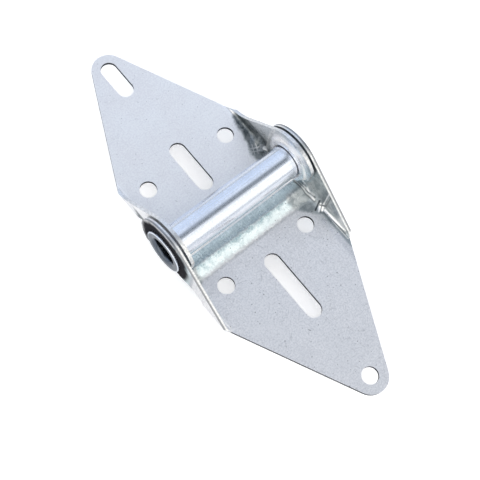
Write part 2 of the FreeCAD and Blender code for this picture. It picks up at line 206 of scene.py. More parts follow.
# Bands of a noise's value, from soft patches to crisp ones
SOFT_BAND = (0.3, 0.7)
EVEN_BAND = (0.35, 0.65)
GRAIN_BAND = (0.36, 0.64)
BLOTCH_BAND = (0.38, 0.62)

NOISE_MIDDLE = 0.5
PATCH_SHARE = 0.3
PIT_SHARPNESS = 18.0
MOTTLE_DETAIL = {"detail": 6.0, "roughness": 0.78, "distortion": 0.2}


def new_group(name, inputs, outputs):
    """Shader group with named sockets. Returns it with its input and output nodes."""
    group = bpy.data.node_groups.new(name, "ShaderNodeTree")
    for label, kind, default in inputs:
        socket = group.interface.new_socket(label, in_out="INPUT", socket_type=kind)
        if default is not None:
            socket.default_value = default
    for label, kind in outputs:
        group.interface.new_socket(label, in_out="OUTPUT", socket_type=kind)
    return group, group.nodes.new("NodeGroupInput"), group.nodes.new("NodeGroupOutput")


def use_group(tree, group, **sources):
    return feed(tree, new_node(tree, "ShaderNodeGroup", node_tree=group), **sources)


def make_zinc_grain():
    """Even zinc coat: a fine crystal grain over faint soft patches."""
    group, source, result = new_group(
        "zinc_grain",
        [("Vector", "NodeSocketVector", None), ("Patch Scale", "NodeSocketFloat", 70.0),
         ("Grain Scale", "NodeSocketFloat", 1500.0)],
        [("Tone", "NodeSocketFloat"), ("Gloss", "NodeSocketFloat")])
    place = source.outputs["Vector"]
    patches = noise(group, place, source.outputs["Patch Scale"], detail=2.0, roughness=0.5)
    grain = noise(group, place, source.outputs["Grain Scale"])
    mixed = plus(group, times(group, patches, PATCH_SHARE), times(group, grain, 1 - PATCH_SHARE))
    link(group, ramp(group, mixed, *GRAIN_BAND), result.inputs["Tone"])
    link(group, ramp(group, patches, *SOFT_BAND), result.inputs["Gloss"])
    return group


def make_drawn_streaks():
    """Fine straight streaks along Y, left by the press tool or the drawing die."""
    group, source, result = new_group(
        "drawn_streaks",
        [("Vector", "NodeSocketVector", None), ("Across", "NodeSocketFloat", 2200.0),
         ("Along", "NodeSocketFloat", 60.0), ("Amount", "NodeSocketFloat", 0.5)],
        [("Streaks", "NodeSocketFloat")])
    x, y, z = split_axes(group, source.outputs["Vector"])
    across = source.outputs["Across"]
    packed = new_node(group, "ShaderNodeCombineXYZ")
    feed(group, packed, X=times(group, x, across), Y=times(group, y, source.outputs["Along"]),
         Z=times(group, z, across))
    streaks = ramp(group, noise(group, packed.outputs[0], 1.0), *SOFT_BAND)
    link(group, drift(group, streaks, source.outputs["Amount"]), result.inputs["Streaks"])
    return group


def make_dark_pits():
    """Scattered tiny dark pits. On a place that is drawn out they are short scratches."""
    group, source, result = new_group(
        "dark_pits",
        [("Vector", "NodeSocketVector", None), ("Scale", "NodeSocketFloat", 620.0),
         ("Size", "NodeSocketFloat", 0.18), ("Share", "NodeSocketFloat", 0.9)],
        [("Pits", "NodeSocketFloat")])
    cells = new_node(group, "ShaderNodeTexVoronoi", feature="F1")
    feed(group, cells, Vector=source.outputs["Vector"], Scale=source.outputs["Scale"], Randomness=1.0)
    chance = new_node(group, "ShaderNodeSeparateColor")
    link(group, cells.outputs["Color"], chance.inputs[0])
    chosen = math_node(group, "LESS_THAN", chance.outputs[0], source.outputs["Share"])
    reach = times(group, chance.outputs[1], source.outputs["Size"])
    inside = minus(group, reach, cells.outputs["Distance"])
    spot = times(group, inside, PIT_SHARPNESS, clamp=True)
    link(group, times(group, spot, chosen, clamp=True), result.inputs["Pits"])
    return group


def make_press_mottle():
    """Cloudy dark and light blotches, where the press stretched and rubbed the zinc. They set the gloss
    there, and in the drawn corners they carry painted dark reflections.
    """
    group, source, result = new_group(
        "press_mottle",
        [("Vector", "NodeSocketVector", None), ("Scale", "NodeSocketFloat", 330.0)],
        [("Mottle", "NodeSocketFloat")])
    clouds = noise(group, source.outputs["Vector"], source.outputs["Scale"], **MOTTLE_DETAIL)
    link(group, ramp(group, clouds, *BLOTCH_BAND), result.inputs["Mottle"])
    return group


def make_line_distance():
    """How far a point is from a line between two places, seen from above."""
    group, source, result = new_group(
        "line_distance",
        [("Vector", "NodeSocketVector", None), ("Start", "NodeSocketVector", None),
         ("Along", "NodeSocketVector", None)],
        [("Distance", "NodeSocketFloat")])
    along = source.outputs["Along"]
    level = vector_node(group, "MULTIPLY", source.outputs["Vector"], (1, 1, 0))
    offset = vector_node(group, "SUBTRACT", level, source.outputs["Start"])
    reached = vector_node(group, "DOT_PRODUCT", offset, along, result="Value")
    whole = vector_node(group, "DOT_PRODUCT", along, along, result="Value")
    share = math_node(group, "DIVIDE", reached, whole, clamp=True)
    nearest = new_node(group, "ShaderNodeVectorMath", operation="SCALE")
    feed(group, nearest, Vector=along, Scale=share)
    apart = vector_node(group, "DISTANCE", offset, nearest.outputs["Vector"], result="Value")
    link(group, apart, result.inputs["Distance"])
    return group


def make_axis_distance():
    """How far a point is from the sleeve's axis."""
    group, source, result = new_group(
        "axis_distance", [("Vector", "NodeSocketVector", None)], [("Radius", "NodeSocketFloat")])
    flat = vector_node(group, "MULTIPLY", source.outputs["Vector"], (0, 1, 1))
    link(group, vector_node(group, "LENGTH", flat, result="Value"), result.inputs["Radius"])
    return group


ZINC_GRAIN = make_zinc_grain()
DRAWN_STREAKS = make_drawn_streaks()
DARK_PITS = make_dark_pits()
PRESS_MOTTLE = make_press_mottle()
LINE_DISTANCE = make_line_distance()
AXIS_DISTANCE = make_axis_distance()


# Where each finish and each painted highlight or shade lies on the sheets and on the sleeve

# A step's lip, flat and slope are ranges along Y. A drawn corner starts at a place along X, which
# moves out by the spread times the way past the bend along Y, and it ends along Y and at a top.
Step = namedtuple("Step", "lip flat slope")
Corner = namedtuple("Corner", "start spread bend end top")

LOWER_STEP = Step(lip=(-6.3 * MM, -5.3 * MM), flat=(-10.7 * MM, -4 * MM), slope=(-15.1 * MM, -10.3 * MM))
OFF_THE_SHEET = (-200 * MM, -190 * MM)
NO_STEP = Step(OFF_THE_SHEET, OFF_THE_SHEET, OFF_THE_SHEET)
LIP_SOFT = 0.15 * MM
STEP_SOFT = 0.8 * MM
CREST_SOFT = 1.0 * MM
FOOT_SOFT = 1.1 * MM
FOOT_REACH = 1.5 * MM
FOOT_FADE = 2.6 * MM
STEP_GRAIN = 900.0
STEP_WAVER = 2.4 * MM

# The slope falls by its height over its run. Faces that look up this much belong to it.
SLOPE_HEIGHT = 2.0 * MM
SLOPE_RUN = 4.8 * MM
SLOPE_ANGLE = math.atan2(SLOPE_HEIGHT, SLOPE_RUN)
FACING_UP = (0.6, 0.85)

LOWER_CORNER = Corner(start=20.5 * MM, spread=0.9, bend=15.5 * MM, end=28 * MM, top=30 * MM)
UPPER_CORNER = Corner(start=22.4 * MM, spread=0.28, bend=14 * MM, end=33 * MM, top=-3 * MM)
CORNER_SOFT = 2 * MM
CORNER_PATCHES = 160.0
CORNER_DRIFT = 5 * MM
LEFT_CORNER_LESS = 5.5 * MM

# Ranges, across the sheet or out from the axis, in which one finish turns into the next
FLANGE_START = (26 * MM, 28 * MM)
# Painted shade on the ears' inner faces starts across this range, and covers this share
FLANGE_FACE = (29 * MM, 30 * MM)
FLANGE_SHADE_SHARE = 0.85
COLLAR_CLEAR = (11.5 * MM, 13.5 * MM)
OUTER_FACE = (33.1 * MM, 33.4 * MM)
# Painted shade on the ears' outer faces: a ragged ring that fades out across this range of radius
SHADE_RING_REACH = (12.2 * MM, 16 * MM)
TORN_ZONE = (32.7 * MM, 33.0 * MM)
# Painted shade on the sleeve's flare faces and in its bore
MOUTH_FACE = (34.0 * MM, 34.4 * MM)
MOUTH_REACH = (6.5 * MM, 8.9 * MM)
MOUTH_SOFT = 0.2 * MM


# Colours, with painted highlights and shade among them, roughness, relief and wear

# Painted highlight along the step's edge under the sleeve
LIP_PAINTED_HIGHLIGHT = (0.98, 0.98, 0.98, 1)
# The step's flat: rubbed, streaked zinc, darkened to teal by a painted reflection of the sleeve's shaded
# underside
FLAT_PAINTED_REFLECTION_LIGHT = (0.66, 0.76, 0.79, 1)
FLAT_PAINTED_REFLECTION_DARK = (0.46, 0.56, 0.60, 1)
# The slope's colours: painted highlight below, painted shade at its crest
SLOPE_PAINTED_HIGHLIGHT = (0.75, 0.84, 0.87, 1)
SLOPE_PAINTED_SHADE = (0.24, 0.36, 0.41, 1)
SLOPE_FOOT = (0.48, 0.50, 0.54, 1)
# Painted shade on the ears' inner faces
FLANGE_PAINTED_SHADE = (0.36, 0.41, 0.43, 1)
# Painted shade on the ears' outer faces
OUTER_FACE_PAINTED_SHADE = (0.028, 0.028, 0.032, 1)
PIT_COLOUR = (0.06, 0.06, 0.07, 1)
TORN_GREY = (0.30, 0.31, 0.33, 1)
MOUTH_PAINTED_SHADE = (0.13, 0.15, 0.18, 1)

# Paleness of the slope's painted highlight: how much its height, its patches and the coat's tone count
SLOPE_FALL = 0.85
SLOPE_PATCHES = 240.0
SLOPE_PATCHINESS = 0.25
SLOPE_TONE = 0.4

# Streaks count for less on the plate than on the step's burnished flat
STREAKS_PLATE_TO_STEP = (0.3, 1.3)

# Roughness: its middle, and how far the grain or the mottle moves it
SATIN_ROUGH = 0.5
SATIN_SPREAD = 0.04
BURNISHED_ROUGH = 0.26
BURNISHED_SPREAD = 0.1
DRAWN_DULLNESS = 0.12

# Relief: each bump's strength and depth, and how far the tone and the step's grain raise it
SHEET_BUMP = {"strength": 0.15, "distance": 0.03 * MM}
EDGE_BUMP = {"strength": 0.2, "distance": 0.04 * MM}
SLEEVE_BUMP = {"strength": 0.25, "distance": 0.02 * MM}
TONE_RELIEF = 0.4
STEP_RELIEF = 9.0

# Short scratches are drawn out pits, and hairlines the crests of a drawn out noise
SCRATCHES = {"Scale": 560.0, "Share": 0.55, "Size": 0.13}
SCRATCH_TURN = math.radians(35)
SCRATCH_STRETCH = (1.0, 4.0, 1.0)
HAIRLINE_TURNS = (math.radians(28), math.radians(-47), math.radians(80))
HAIRLINE_STRETCH = (1.0, 6.0, 1.0)
HAIRLINE_SCALE = 1300.0
HAIRLINE_BEND = 1.2
HAIRLINE_CREST = (0.66, 0.74)
HAIRLINE_STRENGTH = 0.2

# Bare edges and the sleeve
EDGE_GRAIN = 1400.0
EDGE_DULLER = 0.08
EDGE_SHINIER = 0.06
SLEEVE_STREAKS = {"Across": 1500.0, "Along": 25.0, "Amount": 0.9}
SLEEVE_DULLER = 0.05
SLEEVE_SHINIER = 0.03

# Painted highlight and shade lines along the crease lines and facets of the drawn corners: start and end
# on the plate and width, in millimetres, and shade, light or dark.
# The core is the share of the width that has the full shade.
CREASE_CORE = 0.5
CREASE_DARK_SHADE = (0.10, 0.11, 0.12, 1)
CREASE_PAINTED_SHADE = (0.26, 0.28, 0.29, 1)
CREASE_FAINT_HIGHLIGHT = (0.5, 0.51, 0.52, 1)
CREASE_SOFT_HIGHLIGHT = (0.75, 0.76, 0.76, 1)
CREASE_HIGHLIGHT = (1, 1, 1, 1)
UPPER_CREASE_HIGHLIGHTS_AND_SHADE = [
    ((23.2, 14.6), (27.0, 12.6), 0.25, CREASE_FAINT_HIGHLIGHT),
    ((23.6, 16.0), (27.6, 13.9), 0.2, CREASE_FAINT_HIGHLIGHT),
    ((24.3, 12.4), (26.2, 16.6), 0.2, CREASE_FAINT_HIGHLIGHT),
    ((25.8, 12.0), (27.4, 15.8), 0.2, CREASE_FAINT_HIGHLIGHT),
    ((28.9, 12.2), (29.9, 10.6), 0.7, CREASE_SOFT_HIGHLIGHT),
]
LOWER_CREASE_HIGHLIGHTS_AND_SHADE = [
    ((29.0, -7.0), (30.2, -18.5), 0.6, CREASE_PAINTED_SHADE),
    ((29.3, -6.5), (30.5, -18.0), 0.35, CREASE_SOFT_HIGHLIGHT),
    ((30.0, -8.0), (31.1, -17.5), 0.3, CREASE_PAINTED_SHADE),
    ((30.3, -8.0), (31.4, -16.5), 0.35, CREASE_SOFT_HIGHLIGHT),
    ((28.3, -21.4), (31.4, -19.8), 0.5, CREASE_DARK_SHADE),
    ((28.9, -22.7), (31.2, -20.9), 0.5, CREASE_HIGHLIGHT),
    ((30.2, -23.4), (31.9, -21.8), 0.5, CREASE_HIGHLIGHT),
    ((29.4, -23.3), (31.7, -21.2), 0.28, CREASE_PAINTED_SHADE),
    ((30.6, -20.6), (32.0, -23.2), 0.28, CREASE_PAINTED_SHADE),
    ((31.2, -24.0), (32.0, -35.5), 0.6, CREASE_HIGHLIGHT),
    ((30.4, -24.5), (31.4, -36.5), 0.45, CREASE_PAINTED_SHADE),
]

# Each leaf's blotch colours in the drawn corners are painted shade and dark reflection over the pressed
# zinc
SheetFinish = namedtuple("SheetFinish", "light dark step corner mottle_dark mottle_light creases wear")
LOWER_FINISH = SheetFinish(
    light=(1.0, 0.99, 1.0, 1), dark=(0.80, 0.80, 0.82, 1), step=LOWER_STEP, corner=LOWER_CORNER,
    mottle_dark=(0.33, 0.37, 0.39, 1), mottle_light=(0.60, 0.63, 0.64, 1), creases=LOWER_CREASE_HIGHLIGHTS_AND_SHADE, wear=0.7)
UPPER_FINISH = SheetFinish(
    light=(1.0, 1.0, 1.0, 1), dark=(0.90, 0.89, 0.91, 1), step=NO_STEP, corner=UPPER_CORNER,
    mottle_dark=(0.10, 0.12, 0.13, 1), mottle_light=(0.30, 0.32, 0.33, 1), creases=UPPER_CREASE_HIGHLIGHTS_AND_SHADE, wear=0.3)


# Finishes

def new_material(name):
    """Material with its tree, its shader and the place on the piece."""
    material = bpy.data.materials.new(name)
    material.use_nodes = True
    tree = material.node_tree
    place = new_node(tree, "ShaderNodeTexCoord").outputs["Object"]
    return material, tree, tree.nodes["Principled BSDF"], place


def paint_crease_highlights_and_shade(tree, place, colour, creases):
    """Lays fine lines of painted highlight and shade over a colour, each from one place to another in its
    own width and shade.
    """
    for (start_x, start_y), (end_x, end_y), width, shade in creases:
        reach = use_group(tree, LINE_DISTANCE, Vector=place, Start=(start_x * MM, start_y * MM, 0),
                          Along=((end_x - start_x) * MM, (end_y - start_y) * MM, 0))
        line = ramp(tree, reach.outputs["Distance"], width * MM * CREASE_CORE, width * MM, 1.0, 0.0)
        colour = mix_colour(tree, line, colour, shade)
    return colour


def step_masks(tree, along, step):
    """Masks of the step's flat and of its slope, which runs out past its foot."""
    foot, crest = step.slope
    run_out = foot - FOOT_REACH
    flat = within(tree, along, *step.flat, STEP_SOFT)
    slope = times(tree, ramp(tree, along, run_out - FOOT_SOFT, run_out + FOOT_SOFT),
                  ramp(tree, along, crest - CREST_SOFT, crest, 1.0, 0.0))
    return flat, slope


def corner_mask(tree, sideways, y, z, ragged, corner):
    """Mask of the corners that the press drew out, with a ragged inner side."""
    length = unsigned(tree, y)
    beyond = larger(tree, minus(tree, length, corner.bend), 0.0)
    inset = plus(tree, minus(tree, sideways, times(tree, beyond, corner.spread)), ragged)
    inward = ramp(tree, inset, corner.start, corner.start + CORNER_SOFT)
    before_end = ramp(tree, length, corner.end - CORNER_SOFT, corner.end, 1.0, 0.0)
    below_top = ramp(tree, z, corner.top - CORNER_SOFT, corner.top, 1.0, 0.0)
    return times(tree, times(tree, inward, before_end), below_top)


def wear_mask(tree, place):
    """Mask of dark pits, short scratches and faint hairlines in three directions."""
    marred = use_group(tree, DARK_PITS, Vector=place).outputs["Pits"]
    scratched = drawn_out(tree, place, SCRATCH_TURN, SCRATCH_STRETCH)
    scratches = use_group(tree, DARK_PITS, Vector=scratched, **SCRATCHES).outputs["Pits"]
    marred = larger(tree, marred, scratches)
    for turn in HAIRLINE_TURNS:
        lined = drawn_out(tree, place, turn, HAIRLINE_STRETCH)
        threads = noise(tree, lined, HAIRLINE_SCALE, detail=1.0, roughness=0.5, distortion=HAIRLINE_BEND)
        marred = larger(tree, marred, ramp(tree, threads, *HAIRLINE_CREST, 0.0, HAIRLINE_STRENGTH))
    return marred


def slope_highlight_and_shade(tree, place, along, tone, step):
    """Colour of the slope, painted as light falls on it: painted shade at its crest, a pale and patchy
    painted highlight below, and greyer where it runs out.
    """
    foot, crest = step.slope
    run_out = foot - FOOT_REACH
    fall = ramp(tree, along, foot + FOOT_REACH, crest, 1.0, 0.0)
    patchy = ramp(tree, noise(tree, place, SLOPE_PATCHES), *EVEN_BAND, -SLOPE_PATCHINESS, SLOPE_PATCHINESS)
    paleness = plus(tree, times(tree, fall, SLOPE_FALL), patchy)
    paleness = plus(tree, paleness, times(tree, tone, SLOPE_TONE), clamp=True)
    pale = mix_colour(tree, paleness, SLOPE_PAINTED_SHADE, SLOPE_PAINTED_HIGHLIGHT)
    fading = ramp(tree, along, run_out, run_out + FOOT_FADE, 1.0, 0.0)
    return mix_colour(tree, fading, pale, SLOPE_FOOT)


def slope_normal(tree, slope):
    """Normal that leans as the slope does in its mask, so that the slope runs out without a seam."""
    facing = split_axes(tree, new_node(tree, "ShaderNodeTexCoord").outputs["Normal"])[2]
    leaning = times(tree, slope, ramp(tree, facing, *FACING_UP))
    turned = new_node(tree, "ShaderNodeVectorTransform", vector_type="NORMAL", convert_from="OBJECT",
                      convert_to="WORLD")
    turned.inputs[0].default_value = (0, -math.sin(SLOPE_ANGLE), math.cos(SLOPE_ANGLE))
    own = new_node(tree, "ShaderNodeNewGeometry").outputs["Normal"]
    return vector_node(tree, "NORMALIZE", mix(tree, "VECTOR", leaning, own, turned.outputs[0]))


def make_zinc_sheet(name, finish):
    """Galvanised sheet: satin where flat, burnished and blotchy where the press worked it, and worn, with
    painted highlights and shade on the step, the ears' faces and the drawn corners.
    """
    material, tree, shader, place = new_material(name)
    x, y, z = split_axes(tree, place)
    sideways = larger(tree, x, minus(tree, times(tree, x, -1.0), LEFT_CORNER_LESS))
    radius = use_group(tree, AXIS_DISTANCE, Vector=place).outputs["Radius"]
    ragged = drift(tree, noise(tree, place, CORNER_PATCHES), CORNER_DRIFT)
    grainy = noise(tree, place, STEP_GRAIN, detail=2.0)
    along = plus(tree, y, drift(tree, grainy, STEP_WAVER))

    # Masks
    flat, slope = step_masks(tree, along, finish.step)
    lip = within(tree, y, *finish.step.lip, LIP_SOFT)
    stepped = larger(tree, flat, slope)
    pressed = larger(tree, stepped, ramp(tree, sideways, *FLANGE_START))
    off_collar = ramp(tree, radius, *COLLAR_CLEAR)
    flange_shade = times(tree, ramp(tree, sideways, *FLANGE_FACE, 0.0, FLANGE_SHADE_SHARE), off_collar)
    corner = corner_mask(tree, sideways, y, z, ragged, finish.corner)
    drawn = times(tree, corner, off_collar)
    outer = ramp(tree, unsigned(tree, x), *OUTER_FACE)
    mottle_shade_mask = times(tree, drawn, minus(tree, 1.0, outer))
    # Painted shade on the ears' outer faces round the sleeve, dark and not metal
    outer_shade = times(tree, outer, ramp(tree, plus(tree, radius, ragged), *SHADE_RING_REACH, 1.0, 0.0))
    marred = wear_mask(tree, place)

    # Grain
    grain = use_group(tree, ZINC_GRAIN, Vector=place)
    streaks = use_group(tree, DRAWN_STREAKS, Vector=place).outputs["Streaks"]
    rubbed = times(tree, streaks, ramp(tree, flat, 0.0, 1.0, *STREAKS_PLATE_TO_STEP))
    tone = plus(tree, grain.outputs["Tone"], rubbed, clamp=True)
    mottle = use_group(tree, PRESS_MOTTLE, Vector=place).outputs["Mottle"]

    # Colour, one finish laid over the other, with painted highlights and shade among them
    colour = mix_colour(tree, tone, finish.dark, finish.light)
    # Painted highlight and shade on the step's slope
    colour = mix_colour(tree, slope, colour, slope_highlight_and_shade(tree, place, along, tone, finish.step))
    # Painted reflection of the sleeve's shaded underside on the step's flat, over its streaked zinc
    colour = mix_colour(tree, flat, colour, mix_colour(tree, tone, FLAT_PAINTED_REFLECTION_DARK, FLAT_PAINTED_REFLECTION_LIGHT))
    # Painted highlight along the step's edge under the sleeve, standing in for the light its rounded edge
    # would catch
    colour = mix_colour(tree, lip, colour, LIP_PAINTED_HIGHLIGHT)
    # Painted shade on the ears' inner faces, clear of the collars
    colour = mix_colour(tree, flange_shade, colour, FLANGE_PAINTED_SHADE)
    # Drawn corners: blotchy pressed zinc, painted dark with the shade and dark reflections they catch
    shaded_mottle = mix_colour(tree, mottle, finish.mottle_dark, finish.mottle_light)
    colour = mix_colour(tree, mottle_shade_mask, colour, shaded_mottle)
    # Painted highlights and shade lines along the crease lines and facets of the drawn corners
    colour = paint_crease_highlights_and_shade(tree, place, colour, finish.creases)
    colour = mix_colour(tree, times(tree, marred, finish.wear), colour, PIT_COLOUR)
    link(tree, mix_colour(tree, outer_shade, colour, OUTER_FACE_PAINTED_SHADE), shader.inputs["Base Color"])

    # Shine: metal all over, but for the ring of painted shade on the ears' outer faces
    link(tree, minus(tree, 1.0, outer_shade), shader.inputs["Metallic"])
    shader.inputs["Specular IOR Level"].default_value = 0.0
    satin = ramp(tree, grain.outputs["Gloss"], 0.0, 1.0,
                 SATIN_ROUGH + SATIN_SPREAD, SATIN_ROUGH - SATIN_SPREAD)
    gloss = ramp(tree, mottle, 0.0, 1.0, BURNISHED_ROUGH + BURNISHED_SPREAD, BURNISHED_ROUGH)
    gloss = plus(tree, gloss, times(tree, drawn, DRAWN_DULLNESS))
    link(tree, mix(tree, "FLOAT", pressed, satin, gloss), shader.inputs["Roughness"])

    # Relief
    relief = minus(tree, times(tree, tone, TONE_RELIEF), marred)
    relief = plus(tree, relief, times(tree, times(tree, grainy, stepped), STEP_RELIEF))
    normal = surface_bump(tree, relief, **SHEET_BUMP, Normal=slope_normal(tree, slope))
    link(tree, normal, shader.inputs["Normal"])
    return material


def make_bare_edge(name, light, dark, roughness, sheen):
    """Bare steel left by the shears or the punch, with the ears' torn zone. Its light and dark colours and
    its sheen, the tint of its reflections, paint it shaded or lit.
    """
    material, tree, shader, place = new_material(name)
    grain = noise(tree, place, EDGE_GRAIN)
    bright = mix_colour(tree, ramp(tree, grain, *EVEN_BAND), dark, light)
    torn = ramp(tree, unsigned(tree, split_axes(tree, place)[0]), *TORN_ZONE)
    link(tree, mix_colour(tree, torn, bright, TORN_GREY), shader.inputs["Base Color"])
    rough = ramp(tree, grain, *SOFT_BAND, roughness + EDGE_DULLER, roughness - EDGE_SHINIER)
    link(tree, rough, shader.inputs["Roughness"])
    shader.inputs["Metallic"].default_value = 1.0
    shader.inputs["Specular Tint"].default_value = sheen
    link(tree, surface_bump(tree, grain, **EDGE_BUMP), shader.inputs["Normal"])
    return material


def make_bright_sleeve(name, light, dark, roughness):
    """Drawn tube with a bright bluish zinc coat, fine streaks along its length and painted shade in its
    mouths.
    """
    material, tree, shader, place = new_material(name)
    turned = new_node(tree, "ShaderNodeMapping")
    feed(tree, turned, Vector=place, Rotation=(0, 0, QUARTER_TURN))
    streaks = use_group(tree, DRAWN_STREAKS, Vector=turned.outputs[0], **SLEEVE_STREAKS).outputs["Streaks"]
    grain = use_group(tree, ZINC_GRAIN, Vector=place)
    tone = plus(tree, grain.outputs["Tone"], streaks, clamp=True)
    mouth = ramp(tree, unsigned(tree, split_axes(tree, place)[0]), *MOUTH_FACE, *MOUTH_REACH)
    radius = use_group(tree, AXIS_DISTANCE, Vector=place).outputs["Radius"]
    # Painted shade on the flare faces and in the bore, leaving the rims of the flares bright
    mouth_shade = ramp(tree, minus(tree, radius, mouth), -MOUTH_SOFT, MOUTH_SOFT, 1.0, 0.0)
    coat = mix_colour(tree, tone, dark, light)
    link(tree, mix_colour(tree, mouth_shade, coat, MOUTH_PAINTED_SHADE), shader.inputs["Base Color"])
    rough = ramp(tree, tone, 0.0, 1.0, roughness + SLEEVE_DULLER, roughness - SLEEVE_SHINIER)
    link(tree, rough, shader.inputs["Roughness"])
    shader.inputs["Metallic"].default_value = 1.0
    link(tree, surface_bump(tree, streaks, **SLEEVE_BUMP), shader.inputs["Normal"])
    return material


LOWER_SKIN = make_zinc_sheet("lower_leaf_zinc", LOWER_FINISH)
UPPER_SKIN = make_zinc_sheet("upper_leaf_zinc", UPPER_FINISH)
# Bare steel of the sheared walls and the rounded edges, painted dark as shade
SHADED_CUT_EDGE = make_bare_edge("sheared_edge_painted_shade", light=(0.17, 0.17, 0.18, 1), dark=(0.09, 0.09, 0.10, 1),
                          roughness=0.5, sheen=(0.2, 0.2, 0.22, 1))
# The same bare steel on the ears' rims, painted light as a highlight
LIT_RIM_EDGE = make_bare_edge("rim_edge_painted_highlight", light=(0.86, 0.87, 0.88, 1), dark=(0.66, 0.67, 0.68, 1),
                             roughness=0.38, sheen=(1, 1, 1, 1))
SLEEVE_ZINC = make_bright_sleeve("sleeve_zinc", light=(0.84, 0.88, 0.95, 1), dark=(0.70, 0.75, 0.84, 1),
                                 roughness=0.24)


# Pieces

def add_object(name, data):
    """New object at the origin, in the scene."""
    piece = bpy.data.objects.new(name, data)
    bpy.context.scene.collection.objects.link(piece)
    return piece


def bake_modifiers(piece):
    """Replaces a piece's mesh with its evaluated one."""
    graph = bpy.context.evaluated_depsgraph_get()
    finished = bpy.data.meshes.new_from_object(piece.evaluated_get(graph))
    piece.modifiers.clear()
    piece.data = finished
    return piece


# Leaves: the folded sheets, with their sheared faces told from their skins and edges rounded

# Material slots: the skin, the sheared walls in painted shade, and the ears' rims in painted highlight
SKIN, SHEARED, LIT_RIM = range(3)
WALL_MARGIN = SHEET * 0.05
WALL_TILT = 0.2
RIM_TILT = 0.12


def edge_finish(face):
    """Material slot of a face: its skin, a sheared wall of the plate or a rim of the raised ears."""
    normal = face.normal
    centre = face.calc_center_median()
    in_plate = PLATE_BACK + WALL_MARGIN < centre.z < PLATE_TOP - WALL_MARGIN
    if in_plate and abs(normal.z) < WALL_TILT:
        return SHEARED
    if abs(normal.x) < RIM_TILT and centre.z > PLATE_TOP and abs(centre.x) > EAR_REACH - SHEET:
        return LIT_RIM
    return SKIN


def finished_leaf(node_name, piece_name, skin):
    """Copy of a packed leaf with merged points, sheared faces and soft edges in a finish of painted shade,
    and the ears' rims in one of painted highlight.
    """
    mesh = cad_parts[node_name].data.copy()
    leaf = add_object(piece_name, mesh)
    mesh.materials.clear()
    for finish in (skin, SHADED_CUT_EDGE, LIT_RIM_EDGE):
        mesh.materials.append(finish)
    shape = bmesh.new()
    shape.from_mesh(mesh)
    bmesh.ops.remove_doubles(shape, verts=shape.verts, dist=SAME_POINT)
    bmesh.ops.dissolve_limit(shape, angle_limit=SAME_PLANE, verts=shape.verts, edges=shape.edges)
    shape.normal_update()
    for face in shape.faces:
        face.smooth = True
        face.material_index = edge_finish(face)
    shape.to_mesh(mesh)
    shape.free()
    bevel = leaf.modifiers.new("soft_edges", "BEVEL")
    bevel.limit_method = "ANGLE"
    bevel.angle_limit = EDGE_ANGLE
    bevel.width = EDGE_ROUND
    bevel.segments = EDGE_ROUND_STEPS
    bevel.material = SHEARED
    shading = leaf.modifiers.new("even_shading", "WEIGHTED_NORMAL")
    shading.mode = "FACE_AREA"
    shading.weight = FACE_WEIGHT
    shading.keep_sharp = True
    return bake_modifiers(leaf)


# Sleeve: a section turned about the X axis

def value_socket(tree, name, value):
    socket = tree.interface.new_socket(name, in_out="INPUT", socket_type="NodeSocketFloat")
    socket.default_value = value
    return socket.identifier


def sleeve_section(tree, source):
    """Closed section of the sleeve with rounded corners, X out from the bore and Y along the sleeve."""
    end = source["Half Length"]
    seat = minus(tree, end, source["Lip"])
    bore = minus(tree, source["Bore"], source["Bore"])
    outside = minus(tree, source["Outside"], source["Bore"])
    flare = minus(tree, source["Flare"], source["Bore"])
    right = [(end, bore, "Mouth Round"), (end, flare, "Lip Round"), (seat, flare, "Lip Round"),
             (seat, outside, "Crease")]
    corners = [(along, 1, out, size) for along, out, size in right]
    corners += [(along, -1, out, size) for along, out, size in reversed(right)]

    line = feed(tree, new_node(tree, "GeometryNodeMeshLine", count_mode="TOTAL"), Count=len(corners))
    index = new_node(tree, "GeometryNodeInputIndex").outputs[0]
    places = new_node(tree, "GeometryNodeIndexSwitch", data_type="VECTOR")
    rounds = new_node(tree, "GeometryNodeIndexSwitch", data_type="FLOAT")
    for chooser in (places, rounds):
        while len(chooser.index_switch_items) < len(corners):
            chooser.index_switch_items.new()
        link(tree, index, chooser.inputs["Index"])
    for number, (along, side, out, size) in enumerate(corners):
        point = feed(tree, new_node(tree, "ShaderNodeCombineXYZ"), X=out, Y=times(tree, along, side))
        link(tree, point.outputs[0], places.inputs[number + 1])
        link(tree, source[size], rounds.inputs[number + 1])
    moved = feed(tree, new_node(tree, "GeometryNodeSetPosition"), Geometry=line.outputs["Mesh"],
                 Position=places.outputs[0])
    outline = feed(tree, new_node(tree, "GeometryNodeMeshToCurve"), Mesh=moved.outputs[0])
    closed = new_node(tree, "GeometryNodeSetSplineCyclic")
    link(tree, outline.outputs[0], closed.inputs[0])
    feed(tree, closed, Cyclic=True)
    rounded = feed(tree, new_node(tree, "GeometryNodeFilletCurve", mode="POLY"), Curve=closed.outputs[0],
                   Radius=rounds.outputs[0], Count=SLEEVE_ROUND_STEPS)
    return rounded.outputs[0]


